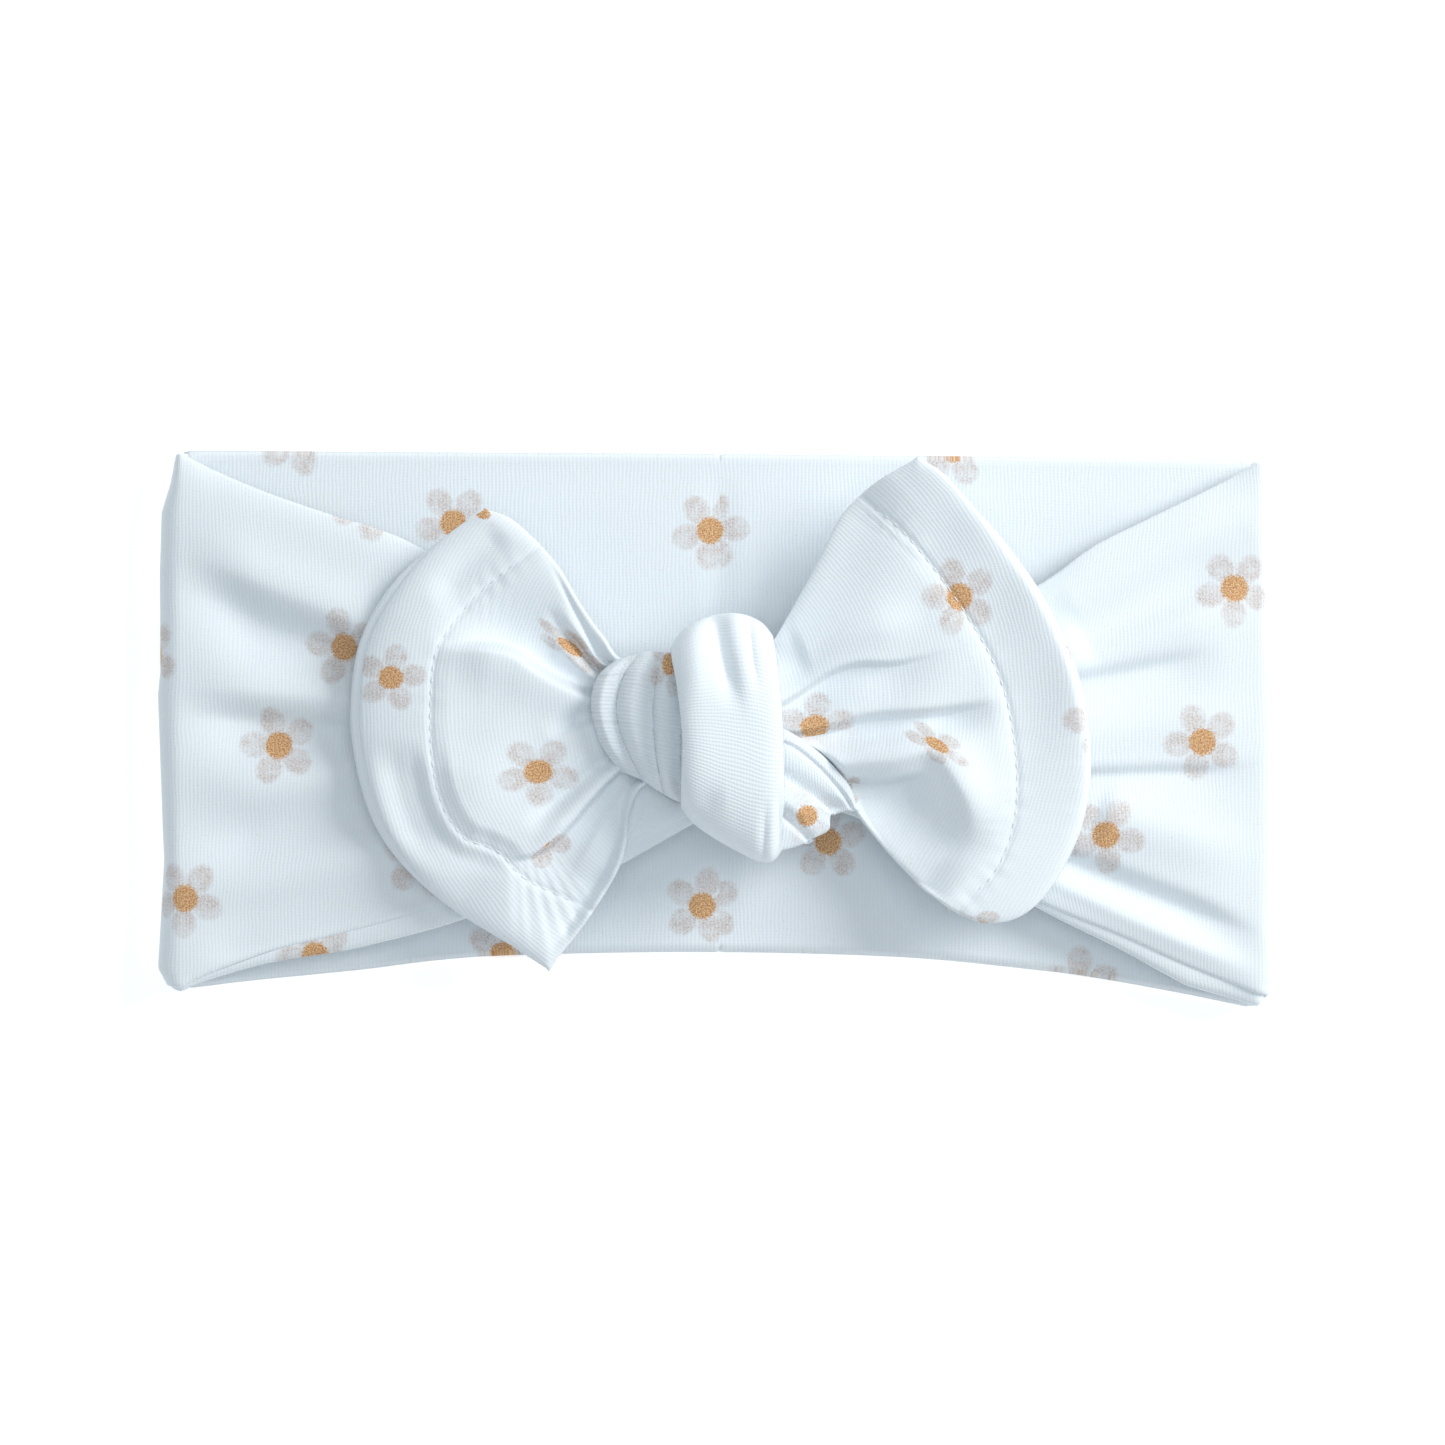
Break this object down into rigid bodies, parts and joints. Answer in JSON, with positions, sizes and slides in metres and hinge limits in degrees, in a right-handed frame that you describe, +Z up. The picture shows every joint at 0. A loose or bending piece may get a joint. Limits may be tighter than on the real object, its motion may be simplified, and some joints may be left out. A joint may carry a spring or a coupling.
{
  "type": "knotted headband",
  "caption": "Soft stretchy headwrap: a tube of printed knit that goes round the head, gathered at the front into one tied knot with spread hemmed tails.",
  "frame": {"origin": "middle of the underside of the headband as it lies folded flat, on the surface it rests on", "axes": "+X along the band from the wearer's right end of the flat loop to its left, +Y across the band towards its straight upper edge, +Z up out of the surface towards the knot"},
  "size_m": [0.181, 0.0888, 0.027],
  "materials": {
    "printed_knit": "white fine-rib jersey printed with scattered pale daisies with ochre centres",
    "inner_knit": "the unprinted inside of the same jersey",
    "thread": "white polyester sewing thread"
  },
  "bodies": {
    "nape": {"nape_outer_layer": "printed_knit", "nape_inner_layer": "inner_knit", "nape_seam": "inner_knit"},
    "left_back": {"left_back_outer_layer": "printed_knit", "left_back_inner_layer": "inner_knit", "left_back_seam": "inner_knit", "left_fold_outer_layer": "printed_knit", "left_fold_inner_layer": "inner_knit"},
    "right_back": {"right_back_outer_layer": "printed_knit", "right_back_inner_layer": "inner_knit", "right_back_seam": "inner_knit", "right_fold_outer_layer": "printed_knit", "right_fold_inner_layer": "inner_knit"},
    "left_arm": {"left_arm_outer_layer": "printed_knit", "left_arm_inner_layer": "inner_knit", "left_arm_seam": "inner_knit"},
    "right_arm": {"right_arm_outer_layer": "printed_knit", "right_arm_inner_layer": "inner_knit", "right_arm_seam": "inner_knit"},
    "knot": {"knot_wrap": "printed_knit", "knot_turn": "printed_knit", "knot_core": "printed_knit", "knot_lower_fold": "printed_knit", "left_neck": "printed_knit", "right_neck": "printed_knit"},
    "left_tail": {"left_tail_front_layer": "printed_knit", "left_tail_back_layer": "printed_knit", "left_tail_hem": "inner_knit", "left_tail_stitching": "thread"},
    "right_tail": {"right_tail_front_layer": "printed_knit", "right_tail_back_layer": "printed_knit", "right_tail_hem": "inner_knit", "right_tail_stitching": "thread"}
  },
  "joints": [
    {"name": "loop_open", "type": "hinge", "parent": "nape", "child": "left_back", "pos_m": [-0.013, 0, 0.0017], "axis": [0, 1, 0], "range_deg": [0, 48]},
    {"name": "nape_right", "type": "hinge", "parent": "nape", "child": "right_back", "pos_m": [0.013, 0, 0.0017], "axis": [0, -1, 0], "range_deg": [0, 48.1]},
    {"name": "left_side_fold", "type": "hinge", "parent": "left_back", "child": "left_arm", "pos_m": [-0.0863, 0, 0.0042], "axis": [0, -1, 0], "range_deg": [0, 96.1]},
    {"name": "right_side_fold", "type": "hinge", "parent": "right_back", "child": "right_arm", "pos_m": [0.0863, 0, 0.0042], "axis": [0, 1, 0], "range_deg": [0, 96.1]},
    {"name": "knot_level", "type": "hinge", "parent": "left_arm", "child": "knot", "pos_m": [-0.013, 0, 0.0067], "axis": [0, 1, 0], "range_deg": [0, 48.1]},
    {"name": "left_tail_lift", "type": "hinge", "parent": "knot", "child": "left_tail", "pos_m": [-0.0196, 0, 0.0176], "axis": [0, 1, 0], "range_deg": [0, 60]},
    {"name": "right_tail_lift", "type": "hinge", "parent": "knot", "child": "right_tail", "pos_m": [0.0135, 0.003, 0.0176], "axis": [0.3621, -0.9322, 0], "range_deg": [0, 60]}
  ],
  "couplings": [
    {"joint": "nape_right", "follows": "loop_open", "ratio": 1},
    {"joint": "left_side_fold", "follows": "loop_open", "ratio": 2},
    {"joint": "right_side_fold", "follows": "loop_open", "ratio": 2},
    {"joint": "knot_level", "follows": "loop_open", "ratio": 1}
  ]
}
